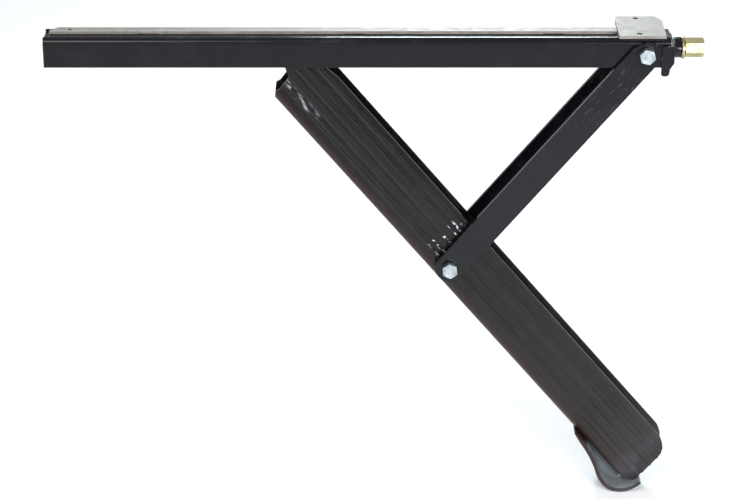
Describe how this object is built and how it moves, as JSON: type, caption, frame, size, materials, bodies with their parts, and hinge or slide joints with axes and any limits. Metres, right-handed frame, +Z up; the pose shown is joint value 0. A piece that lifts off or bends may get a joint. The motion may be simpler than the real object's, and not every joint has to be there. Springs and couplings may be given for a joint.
{
  "type": "trailer stabilizer jack",
  "caption": "Crank-down folding jack: a screw in a long channel slides a ribbed leg out, braced by a pair of link bars.",
  "frame": {"origin": "on the top face of the mounting plate, straight above the drive screw and at the middle of the plate's length", "axes": "+Z up and out of the mounting face, +X along the screw towards the crank hex, +Y to the rear, away from the side with the bolt heads"},
  "size_m": [0.733, 0.0783, 0.5766],
  "materials": {
    "black_paint": "gloss black paint",
    "leg_paint": "satin black paint, scuffed",
    "grey_plate": "dull galvanised",
    "zinc": "bright zinc",
    "yellow_zinc": "yellow zinc",
    "steel": "oiled steel",
    "bronze": "bronze"
  },
  "bodies": {
    "frame": {"channel": "black_paint", "mount_plate": "grey_plate", "mount_rail": "grey_plate", "end_bracket": "black_paint", "thrust_block": "steel", "tail_plate": "black_paint", "tail_bushing": "bronze", "pivot_bolt_front": "zinc", "pivot_bolt_rear": "zinc", "pivot_washer_front": "black_paint", "pivot_washer_rear": "black_paint"},
    "screw": {"lead_screw": "steel", "drive_collar": "black_paint", "drive_collar_pin": "steel", "cup_washer": "yellow_zinc", "hex_coupling": "yellow_zinc", "inner_collar": "steel", "inner_collar_pin": "steel", "thrust_washer": "bronze", "tail_clip": "steel"},
    "link": {"link_bar_front": "black_paint", "link_bar_rear": "black_paint", "leg_bolt": "zinc", "leg_bolt_nut": "zinc", "leg_washer_front": "black_paint", "leg_washer_rear": "black_paint", "leg_spacer_front": "steel", "leg_spacer_rear": "steel"},
    "leg": {"leg": "leg_paint", "foot_plate": "leg_paint", "leg_sleeve": "steel"},
    "nut": {"drive_nut": "bronze"}
  },
  "joints": [
    {"name": "crank_turn", "type": "hinge", "parent": "frame", "child": "screw", "pos_m": [0.05, 0, -0.0205], "axis": [1, 0, 0], "continuous": true},
    {"name": "link_fold", "type": "hinge", "parent": "frame", "child": "link", "pos_m": [0.005, 0, -0.0205], "axis": [0, -1, 0], "range_deg": [-40.6, 4.5]},
    {"name": "leg_swing", "type": "hinge", "parent": "link", "child": "leg", "pos_m": [-0.20954, 0, -0.28168], "axis": [0, 1, 0], "range_deg": [-87.5, 10]},
    {"name": "nut_level", "type": "hinge", "parent": "leg", "child": "nut", "pos_m": [-0.38291, 0, -0.02048], "axis": [0, -1, 0], "range_deg": [-47, 6]}
  ],
  "couplings": [
    {"joint": "leg_swing", "follows": "link_fold", "ratio": 2.1335},
    {"joint": "nut_level", "follows": "link_fold", "ratio": 1.1335}
  ]
}
